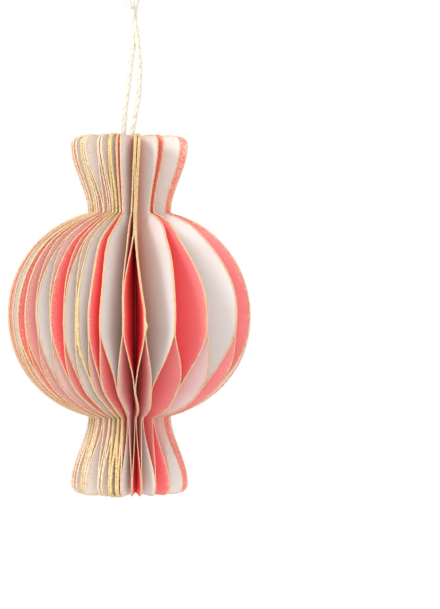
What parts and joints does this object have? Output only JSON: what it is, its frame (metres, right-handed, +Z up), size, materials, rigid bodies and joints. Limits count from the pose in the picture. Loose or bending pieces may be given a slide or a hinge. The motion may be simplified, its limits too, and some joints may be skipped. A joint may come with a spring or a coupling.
{
  "type": "honeycomb paper candy ornament",
  "caption": "Hanging ornament shaped like a wrapped candy: folded card sheets fanned round an open core, glitter along their cut edges, and a knotted cord loop to hang it by.",
  "frame": {"origin": "top of the cord loop on the candy's axis, where a hook or twig carries it", "axes": "+Z up along the candy's axis, -Y towards the front seam, +X to the right of the seam"},
  "size_m": [0.0795, 0.0797, 0.1758],
  "materials": {
    "coral_card": "matte",
    "white_card": "matte",
    "pink_card": "matte",
    "gold_glitter": "satin",
    "gold_cord": "satin"
  },
  "bodies": {
    "root": {"coral_sheet_01": "coral_card", "white_sheet_02": "white_card", "coral_sheet_03": "coral_card", "white_sheet_04": "white_card", "coral_sheet_05": "coral_card", "white_sheet_06": "white_card", "coral_sheet_07": "coral_card", "white_sheet_08": "white_card", "coral_sheet_09": "coral_card", "white_sheet_10": "white_card", "coral_sheet_11": "coral_card", "white_sheet_12": "white_card", "coral_sheet_13": "coral_card", "white_sheet_14": "white_card", "coral_sheet_15": "coral_card", "white_sheet_16": "white_card", "coral_sheet_17": "coral_card", "pink_sheet_18": "pink_card", "white_sheet_19": "white_card", "coral_sheet_20": "coral_card", "pink_sheet_21": "pink_card", "white_sheet_22": "white_card", "coral_sheet_23": "coral_card", "white_sheet_24": "white_card", "white_sheet_25": "white_card", "coral_sheet_26": "coral_card", "white_sheet_27": "white_card", "hanging_cord": "gold_cord", "cord_knot": "gold_cord"}
  },
  "joints": []
}
